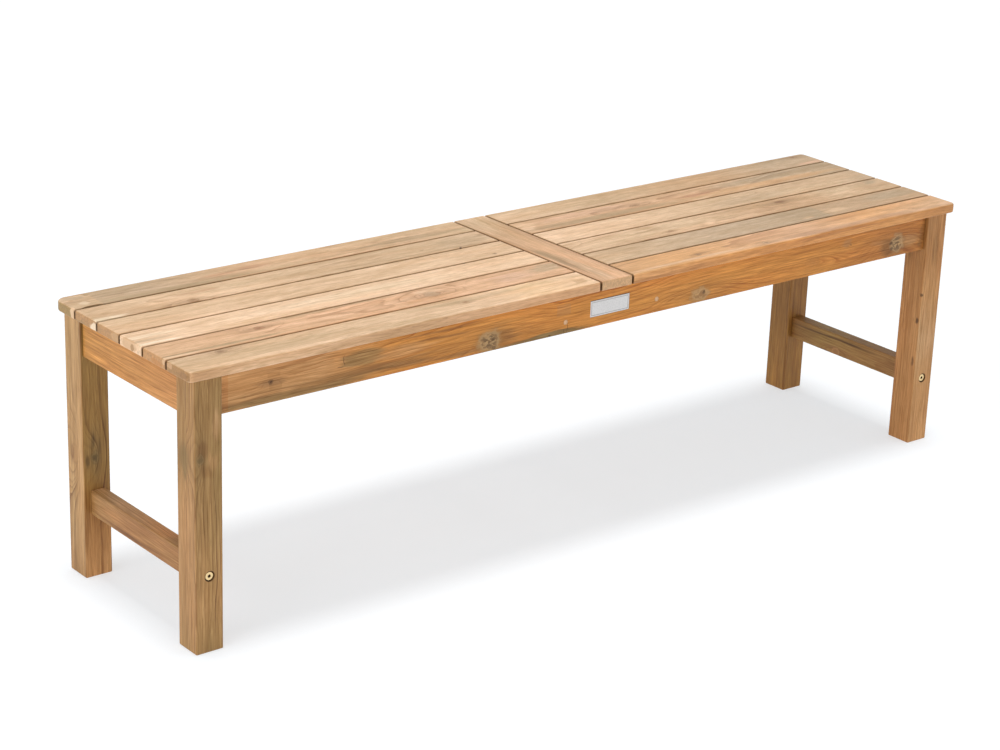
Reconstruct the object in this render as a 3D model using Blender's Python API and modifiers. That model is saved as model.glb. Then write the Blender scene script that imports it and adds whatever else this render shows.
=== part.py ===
"""Backless garden bench in solid teak, for two or three people.

Twelve seat slats lie in two fields, either side of a centre slat that runs the full depth.
They rest on four aprons and two cross rails. The rails are housed in the long aprons and
pinned by dowels. A diagonal brace is let into the aprons at each corner, and a hanger bolt
through it draws the leg into the corner. Low down, each pair of legs is tied by a stretcher,
which is bolted through both legs into barrel nuts.

Lengths are in metres. +X runs along the bench, +Y towards its rear and +Z up. The origin is
on the floor, under the middle of the seat.
"""

import math

import bmesh
import bpy
from mathutils import Vector

# Seat
SEAT_LENGTH = 1.600
SEAT_WIDTH = 0.392
SEAT_HEIGHT = 0.452
SLAT_THICKNESS = 0.0165
SLAT_GAP = 0.004
SLATS_PER_FIELD = 6
CENTRE_SLAT_WIDTH = 0.063
RIM_RADIUS = 0.003
RIM_SEGMENTS = 4

# Corners of the seat, seen from above, and a hollow in one slat's edge
SEAT_CORNER_RADIUS = 0.010
WORN_CORNER_RADIUS = 0.018
CORNER_SEGMENTS = 6
NICK_START = 0.013
NICK_LENGTH = 0.043
NICK_DEPTH = 0.0035
NICK_STEPS = 64

# Legs
LEG_LENGTHWISE = 0.047
LEG_DEPTHWISE = 0.049
END_OVERHANG = 0.0125
SIDE_OVERHANG = 0.008

# Aprons
APRON_HEIGHT = 0.064
APRON_THICKNESS = 0.022
LONG_APRON_RECESS = 0.007
END_APRON_RECESS = 0.004

# Stretchers
STRETCHER_BOTTOM = 0.108
STRETCHER_HEIGHT = 0.040
STRETCHER_THICKNESS = 0.025
STRETCHER_RECESS = 0.0115
TENON_LENGTH = 0.010
TENON_SHOULDER = 0.006

# Cross rails and the dowels that pin them
RAIL_PLACES = {"left": -0.0925, "right": 0.101}
RAIL_THICKNESS = 0.022
RAIL_HEIGHT = 0.060
HOUSING_DEPTH = 0.005
DOWEL_RADIUS = 0.004
DOWEL_LENGTH = 0.047
DOWEL_CHAMFER = 0.0008
DOWEL_HEIGHTS = {"left": 0.3905, "right": 0.3945}

# Corner braces, hanger bolts, washers and nuts
BRACE_THICKNESS = 0.022
BRACE_HEIGHT = 0.048
BRACE_CLEARANCE = 0.006
LEG_CHAMFER = 0.010
HANGER_RADIUS = 0.004
HANGER_GRIP_IN_LEG = 0.032
HANGER_END_PAST_NUT = 0.004
WASHER_RADIUS = 0.012
WASHER_THICKNESS = 0.0016
HANGER_NUT_ACROSS_FLATS = 0.013
HANGER_NUT_THICKNESS = 0.0065

# Stretcher bolts and barrel nuts
BOLT_HEIGHT = 0.1235
BOLT_LENGTH = 0.080
BOLT_RADIUS = 0.003
BOLT_HEAD_RADIUS = 0.007
BOLT_HEAD_THICKNESS = 0.0035
BOLT_HEAD_CHAMFER = 0.0006
SOCKET_ACROSS_FLATS = 0.005
SOCKET_DEPTH = 0.0025
COUNTERBORE_RADIUS = 0.0082
COUNTERBORE_DEPTH = 0.0055
BARREL_NUT_RADIUS = 0.005
BARREL_NUT_LENGTH = 0.016
BARREL_NUT_FROM_LEG = 0.030
SLOT_WIDTH = 0.0014
SLOT_DEPTH = 0.0012

# Nameplate
PLATE_LENGTH = 0.082
PLATE_HEIGHT = 0.027
PLATE_THICKNESS = 0.0012
PLATE_CENTRE_HEIGHT = 0.402
PLATE_POCKET_DEPTH = 0.0018
POCKET_ROOM_ABOVE_PLATE = 0.0012

# Fits and edges
FIT_GAP = 0.0003
DRILL_CLEARANCE = 0.0005
OVERCUT = 0.002
LEG_EASE = 0.0018
BOARD_EASE = 0.0012
SLAT_EASE = 0.0011
METAL_EASE = 0.0002
ROUND_STEPS = 24
SHARP_ANGLE = math.radians(35)
TOUCH = 0.00001

# Worked out from the sizes above
SLAT_PITCH = (SEAT_WIDTH + SLAT_GAP) / SLATS_PER_FIELD
SLAT_WIDTH = SLAT_PITCH - SLAT_GAP
SLAT_UNDERSIDE = SEAT_HEIGHT - SLAT_THICKNESS
FRAME_TOP = SLAT_UNDERSIDE - FIT_GAP
APRON_BOTTOM = SLAT_UNDERSIDE - APRON_HEIGHT
BRACE_CENTRE_HEIGHT = APRON_BOTTOM + APRON_HEIGHT / 2
LEG_OUTER_X = SEAT_LENGTH / 2 - END_OVERHANG
LEG_INNER_X = LEG_OUTER_X - LEG_LENGTHWISE
LEG_OUTER_Y = SEAT_WIDTH / 2 - SIDE_OVERHANG
LEG_INNER_Y = LEG_OUTER_Y - LEG_DEPTHWISE
LONG_APRON_OUTER_Y = LEG_OUTER_Y - LONG_APRON_RECESS
LONG_APRON_INNER_Y = LONG_APRON_OUTER_Y - APRON_THICKNESS
END_APRON_OUTER_X = LEG_OUTER_X - END_APRON_RECESS
END_APRON_INNER_X = END_APRON_OUTER_X - APRON_THICKNESS
STRETCHER_OUTER_X = LEG_OUTER_X - STRETCHER_RECESS
STRETCHER_INNER_X = STRETCHER_OUTER_X - STRETCHER_THICKNESS
STRETCHER_CENTRE_X = (STRETCHER_OUTER_X + STRETCHER_INNER_X) / 2
STRETCHER_TOP = STRETCHER_BOTTOM + STRETCHER_HEIGHT

# Distances along the diagonal from where the aprons' inner faces cross, towards the middle
LEG_INSET = (END_APRON_INNER_X - LEG_INNER_X) + (LONG_APRON_INNER_Y - LEG_INNER_Y)
LEG_CORNER_REACH = LEG_INSET / math.sqrt(2)
LEG_CHAMFER_REACH = LEG_CORNER_REACH - LEG_CHAMFER / math.sqrt(2)
BRACE_OUTER_REACH = LEG_CORNER_REACH + BRACE_CLEARANCE
BRACE_INNER_REACH = BRACE_OUTER_REACH + BRACE_THICKNESS
WASHER_REACH = BRACE_INNER_REACH + FIT_GAP
NUT_REACH = WASHER_REACH + WASHER_THICKNESS + FIT_GAP
HANGER_END_REACH = NUT_REACH + HANGER_NUT_THICKNESS + HANGER_END_PAST_NUT
HANGER_LENGTH = HANGER_END_REACH - LEG_CHAMFER_REACH + HANGER_GRIP_IN_LEG

SIDES = {"left": -1, "right": 1}
FACES = {"front": -1, "rear": 1}
CORNERS = [(face, side) for face in FACES for side in SIDES]


# Scene and objects

def remove_objects():
    for item in list(bpy.data.objects):
        bpy.data.objects.remove(item, do_unlink=True)


def new_collection(name):
    collection = bpy.data.collections.new(name)
    bpy.context.scene.collection.children.link(collection)
    return collection


def new_material(name, colour, roughness, metallic=0.0):
    material = bpy.data.materials.new(name)
    material.use_nodes = True
    shader = material.node_tree.nodes["Principled BSDF"]
    shader.inputs["Base Color"].default_value = (*colour, 1.0)
    shader.inputs["Roughness"].default_value = roughness
    shader.inputs["Metallic"].default_value = metallic
    return material


def add_object(name, shape, collection, location, rotation=(0.0, 0.0, 0.0)):
    """Makes an object from a bmesh, which it frees."""
    mesh = bpy.data.meshes.new(name)
    shape.to_mesh(mesh)
    shape.free()
    item = bpy.data.objects.new(name, mesh)
    item.location = location
    item.rotation_euler = rotation
    collection.objects.link(item)
    return item


def facing(direction):
    """The rotation that turns an object's own +Z towards a direction."""
    return Vector(direction).to_track_quat("Z", "Y").to_euler()


# Shapes

def cuboid(size):
    shape = bmesh.new()
    bmesh.ops.create_cube(shape, size=1.0)
    bmesh.ops.scale(shape, vec=size, verts=shape.verts)
    return shape


def round_bar(radius, length, segments=ROUND_STEPS):
    shape = bmesh.new()
    bmesh.ops.create_cone(
        shape, cap_ends=True, segments=segments, radius1=radius, radius2=radius, depth=length)
    return shape


def hexagon_bar(across_flats, length):
    return round_bar(across_flats / math.sqrt(3), length, segments=6)


def profile_line(points, closed=False):
    """The outline that a Screw modifier turns: (radius, height) pairs, from top to bottom."""
    shape = bmesh.new()
    corners = [shape.verts.new((radius, 0.0, height)) for radius, height in points]
    following = corners[1:] + corners[:1] if closed else corners[1:]
    for start, end in zip(corners, following):
        shape.edges.new((start, end))
    return shape


def turn(item):
    """Turns an outline into a round solid about the object's own Z."""
    screw = item.modifiers.new("turned", "SCREW")
    screw.axis = "Z"
    screw.angle = math.tau
    screw.steps = ROUND_STEPS
    screw.render_steps = ROUND_STEPS
    screw.use_merge_vertices = True
    screw.merge_threshold = TOUCH
    screw.use_smooth_shade = False
    return item


def ease_edges(item, width):
    bevel = item.modifiers.new("eased_edges", "BEVEL")
    bevel.width = width
    bevel.segments = 2
    bevel.limit_method = "ANGLE"
    bevel.angle_limit = SHARP_ANGLE
    return item


def combine(item, tool, operation):
    boolean = item.modifiers.new(tool.name, "BOOLEAN")
    boolean.operation = operation
    boolean.solver = "EXACT"
    boolean.object = tool


def cut(item, *tools):
    for tool in tools:
        combine(item, tool, "DIFFERENCE")


def box_between(x, y, z):
    """The size and the centre of a box, from a pair of limits along each axis."""
    size = [abs(end - start) for start, end in (x, y, z)]
    centre = [(start + end) / 2 for start, end in (x, y, z)]
    return size, centre


# Tools that cut or join the parts

def as_tool(item):
    item.hide_render = True
    item.display_type = "WIRE"
    return item


def box_tool(name, x, y, z, rotation=(0.0, 0.0, 0.0)):
    size, centre = box_between(x, y, z)
    return as_tool(add_object(name, cuboid(size), TOOLS, centre, rotation))


def bar_tool(name, shape, location, direction):
    return as_tool(add_object(name, shape, TOOLS, location, facing(direction)))


# Parts

def board(name, x, y, z, material, ease=BOARD_EASE):
    size, centre = box_between(x, y, z)
    item = add_object(name, cuboid(size), BENCH, centre)
    item.data.materials.append(material)
    return ease_edges(item, ease)


def turned_part(name, points, location, direction, material, closed=False):
    item = add_object(name, profile_line(points, closed), BENCH, location, facing(direction))
    item.data.materials.append(material)
    return turn(item)


def inward(face, side):
    """The level direction from a corner of the bench towards its middle, at 45 degrees."""
    return Vector((-SIDES[side], -FACES[face], 0.0)).normalized()


def corner_point(face, side, reach):
    """A point on a corner's diagonal, at the height of the brace's middle."""
    x = SIDES[side] * END_APRON_INNER_X
    y = FACES[face] * LONG_APRON_INNER_Y
    return Vector((x, y, BRACE_CENTRE_HEIGHT)) + inward(face, side) * reach


def brace_shape(growth=0.0):
    """A bar lying across a corner, its ends mitred to lie along the two aprons.

    Its own +Y is the inward side, so each end runs outward with y at 45 degrees.
    """
    middle_reach = (BRACE_OUTER_REACH + BRACE_INNER_REACH) / 2
    length = 2 * (middle_reach + (HOUSING_DEPTH - FIT_GAP + growth) * math.sqrt(2))
    shape = cuboid((length, BRACE_THICKNESS + 2 * growth, BRACE_HEIGHT + 2 * growth))
    for vertex in shape.verts:
        vertex.co.x += math.copysign(1.0, vertex.co.x) * vertex.co.y
    return shape


def brace_rotation(face, side):
    """Turns the brace's own +Y to the inward direction."""
    direction = inward(face, side)
    return (0.0, 0.0, math.atan2(direction.y, direction.x) - math.pi / 2)


def brace_location(face, side):
    return corner_point(face, side, (BRACE_OUTER_REACH + BRACE_INNER_REACH) / 2)


def hanger_hole(face, side):
    """A clearance hole along the corner's diagonal, from inside the leg to past the brace."""
    start = LEG_CHAMFER_REACH - HANGER_GRIP_IN_LEG - OVERCUT
    end = HANGER_END_REACH + OVERCUT
    shape = round_bar(HANGER_RADIUS + DRILL_CLEARANCE, end - start)
    middle = corner_point(face, side, (start + end) / 2)
    return bar_tool(f"hanger_hole_{face}_{side}", shape, middle, inward(face, side))


def bolt_hole(face, side):
    """A clearance hole through the leg and into the stretcher, past the bolt's tip."""
    end = COUNTERBORE_DEPTH + BOLT_LENGTH + OVERCUT
    middle_y = FACES[face] * (LEG_OUTER_Y - (end - OVERCUT) / 2)
    location = (SIDES[side] * STRETCHER_CENTRE_X, middle_y, BOLT_HEIGHT)
    shape = round_bar(BOLT_RADIUS + DRILL_CLEARANCE, end + OVERCUT)
    return bar_tool(f"bolt_hole_{face}_{side}", shape, location, (0.0, FACES[face], 0.0))


def counterbore(face, side):
    location = (SIDES[side] * STRETCHER_CENTRE_X, FACES[face] * LEG_OUTER_Y, BOLT_HEIGHT)
    shape = round_bar(COUNTERBORE_RADIUS, 2 * COUNTERBORE_DEPTH)
    return bar_tool(f"counterbore_{face}_{side}", shape, location, (0.0, FACES[face], 0.0))


def leg_mortise(face, side):
    """The pocket in a leg's inner face that takes the stretcher's stub tenon."""
    x = [SIDES[side] * (STRETCHER_OUTER_X - TENON_SHOULDER + FIT_GAP),
         SIDES[side] * (STRETCHER_INNER_X + TENON_SHOULDER - FIT_GAP)]
    y = [FACES[face] * (LEG_INNER_Y - OVERCUT), FACES[face] * (LEG_INNER_Y + TENON_LENGTH + FIT_GAP)]
    z = [STRETCHER_BOTTOM + TENON_SHOULDER - FIT_GAP, STRETCHER_TOP - TENON_SHOULDER + FIT_GAP]
    return box_tool(f"mortise_{face}_{side}", x, y, z)


def leg_chamfer(face, side):
    """Flattens the top of a leg's inner corner, where the hanger bolt comes out."""
    size = [3 * LEG_CHAMFER, 2 * LEG_CHAMFER, APRON_HEIGHT + 2 * OVERCUT]
    centre = corner_point(face, side, LEG_CHAMFER_REACH + LEG_CHAMFER)
    centre.z = APRON_BOTTOM + size[2] / 2
    rotation = brace_rotation(face, side)
    return as_tool(add_object(f"chamfer_{face}_{side}", cuboid(size), TOOLS, centre, rotation))


def build_leg(face, side, holes):
    x = [SIDES[side] * LEG_OUTER_X, SIDES[side] * LEG_INNER_X]
    y = [FACES[face] * LEG_OUTER_Y, FACES[face] * LEG_INNER_Y]
    leg = board(f"leg_{face}_{side}", x, y, [0.0, FRAME_TOP], LEG_TEAK, LEG_EASE)
    cut(leg, leg_mortise(face, side), counterbore(face, side), holes["bolt"][face, side])
    cut(leg, leg_chamfer(face, side), holes["hanger"][face, side])


def build_stretcher(side, holes):
    """A stretcher with a stub tenon at each end, drilled from below for its two barrel nuts."""
    outer = SIDES[side] * STRETCHER_OUTER_X
    inner = SIDES[side] * STRETCHER_INNER_X
    half = LEG_INNER_Y - FIT_GAP
    z = [STRETCHER_BOTTOM, STRETCHER_TOP]
    stretcher = board(f"stretcher_{side}", [outer, inner], [-half, half], z, STRETCHER_TEAK)
    tenon_x = [outer - SIDES[side] * TENON_SHOULDER, inner + SIDES[side] * TENON_SHOULDER]
    tenon_y = [-(LEG_INNER_Y + TENON_LENGTH), LEG_INNER_Y + TENON_LENGTH]
    tenon_z = [STRETCHER_BOTTOM + TENON_SHOULDER, STRETCHER_TOP - TENON_SHOULDER]
    combine(stretcher, box_tool(f"tenons_{side}", tenon_x, tenon_y, tenon_z), "UNION")
    for face in FACES:
        cut(stretcher, holes["bolt"][face, side], barrel_nut_hole(face, side))


def barrel_nut_place(face, side):
    return (SIDES[side] * STRETCHER_CENTRE_X, FACES[face] * (LEG_INNER_Y - BARREL_NUT_FROM_LEG), BOLT_HEIGHT)


def barrel_nut_hole(face, side):
    x, y, height = barrel_nut_place(face, side)
    top = height + BARREL_NUT_LENGTH / 2 + FIT_GAP
    bottom = STRETCHER_BOTTOM - OVERCUT
    shape = round_bar(BARREL_NUT_RADIUS + FIT_GAP, top - bottom)
    return bar_tool(f"nut_hole_{face}_{side}", shape, (x, y, (top + bottom) / 2), (0.0, 0.0, 1.0))


def build_barrel_nut(face, side):
    """A cross-drilled nut, slotted underneath so that it can be turned to meet the bolt."""
    place = barrel_nut_place(face, side)
    shape = round_bar(BARREL_NUT_RADIUS, BARREL_NUT_LENGTH)
    nut = add_object(f"barrel_nut_{face}_{side}", shape, BENCH, place)
    nut.data.materials.append(STEEL)
    bore = round_bar(BOLT_RADIUS + FIT_GAP, 4 * BARREL_NUT_RADIUS)
    cut(nut, bar_tool(f"nut_bore_{face}_{side}", bore, place, (0.0, 1.0, 0.0)))
    foot = place[2] - BARREL_NUT_LENGTH / 2
    x = [place[0] - 2 * BARREL_NUT_RADIUS, place[0] + 2 * BARREL_NUT_RADIUS]
    y = [place[1] - SLOT_WIDTH / 2, place[1] + SLOT_WIDTH / 2]
    cut(nut, box_tool(f"nut_slot_{face}_{side}", x, y, [foot - OVERCUT, foot + SLOT_DEPTH]))


def build_stretcher_bolt(face, side):
    """A flat-headed connector bolt with a hexagon socket, its head sunk in the leg's counterbore."""
    under_head = COUNTERBORE_DEPTH - FIT_GAP
    head_top = under_head - BOLT_HEAD_THICKNESS
    outline = [
        (0.0, 0.0),
        (BOLT_HEAD_RADIUS - BOLT_HEAD_CHAMFER, 0.0),
        (BOLT_HEAD_RADIUS, -BOLT_HEAD_CHAMFER),
        (BOLT_HEAD_RADIUS, -BOLT_HEAD_THICKNESS),
        (BOLT_RADIUS, -BOLT_HEAD_THICKNESS),
        (BOLT_RADIUS, -BOLT_HEAD_THICKNESS - BOLT_LENGTH + BOLT_HEAD_CHAMFER),
        (BOLT_RADIUS - BOLT_HEAD_CHAMFER, -BOLT_HEAD_THICKNESS - BOLT_LENGTH),
        (0.0, -BOLT_HEAD_THICKNESS - BOLT_LENGTH),
    ]
    location = (SIDES[side] * STRETCHER_CENTRE_X, FACES[face] * (LEG_OUTER_Y - head_top), BOLT_HEIGHT)
    direction = (0.0, FACES[face], 0.0)
    bolt = turned_part(f"stretcher_bolt_{face}_{side}", outline, location, direction, BRASS)
    socket = hexagon_bar(SOCKET_ACROSS_FLATS, 2 * SOCKET_DEPTH)
    cut(bolt, bar_tool(f"socket_{face}_{side}", socket, location, direction))


def build_long_apron(face, holes):
    half = LEG_INNER_X - FIT_GAP
    y = [FACES[face] * LONG_APRON_OUTER_Y, FACES[face] * LONG_APRON_INNER_Y]
    apron = board(f"apron_{face}", [-half, half], y, [APRON_BOTTOM, FRAME_TOP], APRON_TEAK)
    for side in SIDES:
        cut(apron, holes["brace"][face, side], holes["dowel"][face, side], rail_housing(face, side))
    if face == "front":
        cut(apron, plate_pocket())


def build_end_apron(side, holes):
    half = LEG_INNER_Y - FIT_GAP
    x = [SIDES[side] * END_APRON_OUTER_X, SIDES[side] * END_APRON_INNER_X]
    apron = board(f"apron_{side}", x, [-half, half], [APRON_BOTTOM, FRAME_TOP], APRON_TEAK)
    for face in FACES:
        cut(apron, holes["brace"][face, side])


def brace_housing(face, side):
    shape = brace_shape(growth=FIT_GAP)
    place = brace_location(face, side)
    return as_tool(add_object(f"housing_{face}_{side}", shape, TOOLS, place, brace_rotation(face, side)))


def build_brace(face, side, holes):
    place = brace_location(face, side)
    brace = add_object(f"corner_brace_{face}_{side}", brace_shape(), BENCH, place, brace_rotation(face, side))
    brace.data.materials.append(RAIL_TEAK)
    cut(brace, holes["hanger"][face, side])


def build_hanger_set(face, side):
    """The bolt in the leg, and the washer and nut that pull it through the brace."""
    direction = inward(face, side)
    outline = [
        (0.0, 0.0),
        (HANGER_RADIUS - BOLT_HEAD_CHAMFER, 0.0),
        (HANGER_RADIUS, -BOLT_HEAD_CHAMFER),
        (HANGER_RADIUS, -HANGER_LENGTH + HANGER_RADIUS),
        (0.0, -HANGER_LENGTH),
    ]
    end = corner_point(face, side, HANGER_END_REACH)
    turned_part(f"hanger_bolt_{face}_{side}", outline, end, direction, STEEL)

    bore = HANGER_RADIUS + FIT_GAP
    ring = [(bore, WASHER_THICKNESS), (WASHER_RADIUS, WASHER_THICKNESS), (WASHER_RADIUS, 0.0), (bore, 0.0)]
    start = corner_point(face, side, WASHER_REACH)
    turned_part(f"washer_{face}_{side}", ring, start, direction, STEEL, closed=True)

    middle = corner_point(face, side, NUT_REACH + HANGER_NUT_THICKNESS / 2)
    shape = hexagon_bar(HANGER_NUT_ACROSS_FLATS, HANGER_NUT_THICKNESS)
    nut = add_object(f"hanger_nut_{face}_{side}", shape, BENCH, middle, facing(direction))
    nut.data.materials.append(STEEL)
    ease_edges(nut, METAL_EASE)
    bore_bar = round_bar(bore, 2 * HANGER_NUT_THICKNESS)
    cut(nut, bar_tool(f"hanger_nut_bore_{face}_{side}", bore_bar, middle, direction))


def rail_limits(side, growth=0.0):
    half = RAIL_THICKNESS / 2 + growth
    return [RAIL_PLACES[side] - half, RAIL_PLACES[side] + half]


def rail_housing(face, side):
    """The slot in a long apron's inner face that a cross rail's end drops into."""
    y = [FACES[face] * (LONG_APRON_INNER_Y - OVERCUT), FACES[face] * (LONG_APRON_INNER_Y + HOUSING_DEPTH)]
    z = [FRAME_TOP - RAIL_HEIGHT - FIT_GAP, FRAME_TOP + OVERCUT]
    return box_tool(f"rail_housing_{face}_{side}", rail_limits(side, FIT_GAP), y, z)


def build_cross_rail(side, holes):
    half = LONG_APRON_INNER_Y + HOUSING_DEPTH - FIT_GAP
    z = [FRAME_TOP - RAIL_HEIGHT, FRAME_TOP]
    rail = board(f"cross_rail_{side}", rail_limits(side), [-half, half], z, RAIL_TEAK)
    for face in FACES:
        cut(rail, holes["dowel"][face, side])


def dowel_hole(face, side):
    """A hole through the long apron and on into the cross rail's end."""
    start = LONG_APRON_OUTER_Y + OVERCUT
    end = LONG_APRON_OUTER_Y - DOWEL_LENGTH - OVERCUT
    location = (RAIL_PLACES[side], FACES[face] * (start + end) / 2, DOWEL_HEIGHTS[side])
    shape = round_bar(DOWEL_RADIUS + FIT_GAP, start - end)
    return bar_tool(f"dowel_hole_{face}_{side}", shape, location, (0.0, 1.0, 0.0))


def build_dowel(face, side):
    outline = [
        (0.0, 0.0),
        (DOWEL_RADIUS, 0.0),
        (DOWEL_RADIUS, -DOWEL_LENGTH + DOWEL_CHAMFER),
        (DOWEL_RADIUS - DOWEL_CHAMFER, -DOWEL_LENGTH),
        (0.0, -DOWEL_LENGTH),
    ]
    location = (RAIL_PLACES[side], FACES[face] * LONG_APRON_OUTER_Y, DOWEL_HEIGHTS[side])
    turned_part(f"rail_dowel_{face}_{side}", outline, location, (0.0, FACES[face], 0.0), DOWEL_WOOD)


def plate_pocket():
    """The shallow pocket that the nameplate lies in, with a little room above the plate."""
    half_length = PLATE_LENGTH / 2 + FIT_GAP
    bottom = PLATE_CENTRE_HEIGHT - PLATE_HEIGHT / 2 - FIT_GAP
    top = PLATE_CENTRE_HEIGHT + PLATE_HEIGHT / 2 + POCKET_ROOM_ABOVE_PLATE
    y = [-LONG_APRON_OUTER_Y - OVERCUT, -LONG_APRON_OUTER_Y + PLATE_POCKET_DEPTH]
    return box_tool("plate_pocket", [-half_length, half_length], y, [bottom, top])


def build_nameplate():
    back = -LONG_APRON_OUTER_Y + PLATE_POCKET_DEPTH - FIT_GAP
    x = [-PLATE_LENGTH / 2, PLATE_LENGTH / 2]
    z = [PLATE_CENTRE_HEIGHT - PLATE_HEIGHT / 2, PLATE_CENTRE_HEIGHT + PLATE_HEIGHT / 2]
    board("nameplate", x, [back - PLATE_THICKNESS, back], z, ALUMINIUM, METAL_EASE)


def round_edges(shape, edges, radius, segments):
    bmesh.ops.bevel(
        shape, geom=edges, offset=radius, offset_type="OFFSET", segments=segments, profile=0.5,
        affect="EDGES", clamp_overlap=True)
    shape.normal_update()


def round_rim(shape, *outward):
    """Rounds the upper and lower edges of the sides that face any of the outward directions."""
    level = [edge for edge in shape.edges if abs(edge.verts[0].co.z - edge.verts[1].co.z) < TOUCH]
    rim = [
        edge for edge in level
        if any(face.normal.dot(Vector(way)) > TOUCH for face in edge.link_faces for way in outward)]
    round_edges(shape, rim, RIM_RADIUS, RIM_SEGMENTS)


def slat_shape(size, rim_sign, end_sign, corner_radius):
    """A slat with the seat's rounded rim across its outer end and along its side on the rim, if any.

    rim_sign is 0 for a slat inside the field. On the rim, the outer corner is a corner of the seat.
    """
    shape = cuboid(size)
    seat_corner = [
        edge for edge in shape.edges
        if all(vertex.co.x * end_sign > 0 and vertex.co.y * rim_sign > 0 for vertex in edge.verts)]
    round_edges(shape, seat_corner, corner_radius, CORNER_SEGMENTS)
    round_rim(shape, (end_sign, 0.0, 0.0), (0.0, rim_sign, 0.0))
    return shape


def build_slat(side, number):
    """One slat of a field; number 1 is at the rear and the last is at the front."""
    x = [SIDES[side] * SEAT_LENGTH / 2, SIDES[side] * (CENTRE_SLAT_WIDTH / 2 + SLAT_GAP)]
    rear_edge = SEAT_WIDTH / 2 - (number - 1) * SLAT_PITCH
    size, centre = box_between(x, [rear_edge - SLAT_WIDTH, rear_edge], [SLAT_UNDERSIDE, SEAT_HEIGHT])
    rim_sign = {1: FACES["rear"], SLATS_PER_FIELD: FACES["front"]}.get(number, 0)
    corner_radius = WORN_CORNER_RADIUS if (side, number) == ("left", 1) else SEAT_CORNER_RADIUS
    shape = slat_shape(size, rim_sign, SIDES[side], corner_radius)
    slat = add_object(f"slat_{side}_{number}", shape, BENCH, centre)
    slat.data.materials.append(SLAT_TEAK)
    ease_edges(slat, SLAT_EASE)
    return slat


def edge_nick():
    """A shallow hollow in the front edge of the rear left slat, near its outer end."""
    radius = (NICK_LENGTH ** 2 / 4 + NICK_DEPTH ** 2) / (2 * NICK_DEPTH)
    x = -SEAT_LENGTH / 2 + NICK_START + NICK_LENGTH / 2
    y = SEAT_WIDTH / 2 - SLAT_WIDTH + NICK_DEPTH - radius
    shape = round_bar(radius, 2 * SLAT_THICKNESS, NICK_STEPS)
    return bar_tool("edge_nick", shape, (x, y, SEAT_HEIGHT - SLAT_THICKNESS / 2), (0.0, 0.0, 1.0))


def build_centre_slat():
    x = [-CENTRE_SLAT_WIDTH / 2, CENTRE_SLAT_WIDTH / 2]
    y = [-SEAT_WIDTH / 2, SEAT_WIDTH / 2]
    size, centre = box_between(x, y, [SLAT_UNDERSIDE, SEAT_HEIGHT])
    shape = cuboid(size)
    round_rim(shape, (0.0, FACES["front"], 0.0), (0.0, FACES["rear"], 0.0))
    slat = add_object("centre_slat", shape, BENCH, centre)
    slat.data.materials.append(SLAT_TEAK)
    ease_edges(slat, SLAT_EASE)


def build_bench():
    holes = {
        "bolt": {(face, side): bolt_hole(face, side) for face, side in CORNERS},
        "hanger": {(face, side): hanger_hole(face, side) for face, side in CORNERS},
        "brace": {(face, side): brace_housing(face, side) for face, side in CORNERS},
        "dowel": {(face, side): dowel_hole(face, side) for face, side in CORNERS},
    }
    for face, side in CORNERS:
        build_leg(face, side, holes)
        build_stretcher_bolt(face, side)
        build_barrel_nut(face, side)
        build_brace(face, side, holes)
        build_hanger_set(face, side)
        build_dowel(face, side)
    for face in FACES:
        build_long_apron(face, holes)
    for side in SIDES:
        build_end_apron(side, holes)
        build_stretcher(side, holes)
        build_cross_rail(side, holes)
    numbers = range(1, SLATS_PER_FIELD + 1)
    slats = {(side, number): build_slat(side, number) for side in SIDES for number in numbers}
    cut(slats["left", 1], edge_nick())
    build_centre_slat()
    build_nameplate()


remove_objects()
BENCH = new_collection("backless_bench")
TOOLS = new_collection("cutting_tools")
SLAT_TEAK = new_material("slat_teak", (0.68, 0.45, 0.26), 0.55)
APRON_TEAK = new_material("apron_teak", (0.53, 0.26, 0.09), 0.50)
LEG_TEAK = new_material("leg_teak", (0.38, 0.23, 0.11), 0.55)
STRETCHER_TEAK = new_material("stretcher_teak", (0.36, 0.20, 0.09), 0.55)
RAIL_TEAK = new_material("rail_teak", (0.45, 0.27, 0.12), 0.60)
DOWEL_WOOD = new_material("dowel_wood", (0.70, 0.50, 0.28), 0.60)
BRASS = new_material("brass", (0.78, 0.60, 0.32), 0.30, metallic=1.0)
STEEL = new_material("zinc_plated_steel", (0.62, 0.63, 0.65), 0.35, metallic=1.0)
ALUMINIUM = new_material("brushed_aluminium", (0.74, 0.74, 0.75), 0.38, metallic=1.0)
build_bench()
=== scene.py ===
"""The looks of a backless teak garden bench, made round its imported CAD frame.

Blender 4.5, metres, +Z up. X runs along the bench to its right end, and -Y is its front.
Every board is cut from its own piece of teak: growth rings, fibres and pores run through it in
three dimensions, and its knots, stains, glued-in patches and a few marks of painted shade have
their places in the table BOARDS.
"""

import math

import bpy
from mathutils import Euler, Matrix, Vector


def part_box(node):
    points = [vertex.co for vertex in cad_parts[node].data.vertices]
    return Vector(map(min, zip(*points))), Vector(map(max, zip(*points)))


# The camera, at the picture's viewing angle.
CAMERA_PLACE = (-2.5504, -3.0595, 1.6977)
CAMERA_YAW = math.radians(38.957)
CAMERA_PITCH = math.radians(20.312)
CAMERA_ROLL = math.radians(2.030)
CAMERA_LENS_MM = 90.454
SENSOR_MM = 36.0

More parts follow.
